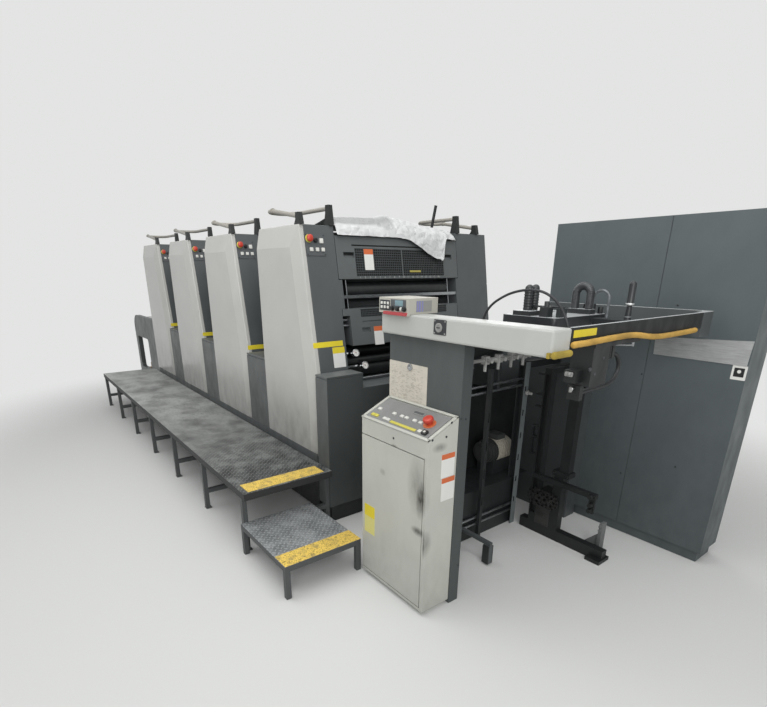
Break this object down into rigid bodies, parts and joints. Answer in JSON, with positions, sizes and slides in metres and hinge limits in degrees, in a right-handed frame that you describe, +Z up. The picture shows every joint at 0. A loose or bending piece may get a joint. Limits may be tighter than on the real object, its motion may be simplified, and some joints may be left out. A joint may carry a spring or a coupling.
{
  "type": "offset printing press",
  "caption": "Sheet-fed offset printing press: a row of printing units with sloping guards, a sheet feeder, console cabinet, electrical cabinet, walkway and low delivery.",
  "frame": {"origin": "on the floor under the middle of the printing unit next to the feeder", "axes": "+X along the press towards the feeder, +Y towards the drive side, +Z up"},
  "size_m": [7.321, 2.33, 2.0872],
  "materials": {
    "dark_paint": "satin dark grey enamel",
    "black_paint": "matt black",
    "light_cover": "glossy light grey moulded cover",
    "light_paint": "satin light grey enamel",
    "bright_steel": "ground steel",
    "tread_steel": "worn tread plate",
    "roller_rubber": "smooth black rubber",
    "rail_paint": "grey painted tube",
    "control_plate": "dark control plate with buttons",
    "sheet_plastic": "thin white dust sheet",
    "foam_yellow": "yellow foam",
    "beige_paint": "beige enamel",
    "hose_rubber": "black hose",
    "plain_aluminium": "brushed sheet",
    "pale_wood": "pallet boards"
  },
  "bodies": {
    "press": {"press_bed": "black_paint", "unit_1_housing": "dark_paint", "unit_2_housing": "dark_paint", "unit_3_housing": "dark_paint", "unit_4_housing": "dark_paint", "unit_1_cover": "light_cover", "unit_2_cover": "light_cover", "unit_3_cover": "light_cover", "unit_4_cover": "light_cover", "unit_1_guard": "dark_paint", "unit_2_guard": "dark_paint", "unit_3_guard": "dark_paint", "unit_4_guard": "dark_paint", "rollers": "roller_rubber", "wash_bars": "bright_steel", "dial_gauges": "bright_steel", "low_boxes": "dark_paint", "handrails": "rail_paint", "top_fittings": "black_paint", "control_plates": "control_plate", "dust_sheet": "sheet_plastic", "platform_deck": "tread_steel", "platform_legs": "dark_paint", "lower_step": "tread_steel", "console_body": "light_paint", "console_panel": "control_plate", "feeder_column": "dark_paint", "feeder_top_beam": "light_paint", "feeder_crossbar": "dark_paint", "feeder_drive_frame": "dark_paint", "safety_bar": "foam_yellow", "feeder_base": "black_paint", "feed_board": "dark_paint", "drive_motor": "beige_paint", "tie_rods": "bright_steel", "front_guide_post": "black_paint", "pile_guide_frame": "black_paint", "rail_foot_bracket": "light_paint", "pile_hoist": "bright_steel", "sheet_stops": "bright_steel", "suction_table": "dark_paint", "suction_heads": "black_paint", "valve_block": "black_paint", "air_hoses": "hose_rubber", "arc_cable": "hose_rubber", "low_hose_1": "hose_rubber", "low_hose_2": "hose_rubber", "feeder_control_box": "beige_paint", "electrical_cabinet": "dark_paint", "cabinet_sheet": "plain_aluminium", "delivery_frames": "dark_paint", "delivery_hood": "light_paint", "delivery_pile_board": "pale_wood"},
    "console_door": {"console_door": "light_paint"}
  },
  "joints": [
    {"name": "console_door_hinge", "type": "hinge", "parent": "press", "child": "console_door", "pos_m": [1.11, -0.967, 0.438], "axis": [0, 0, -1], "range_deg": [0, 90]}
  ]
}
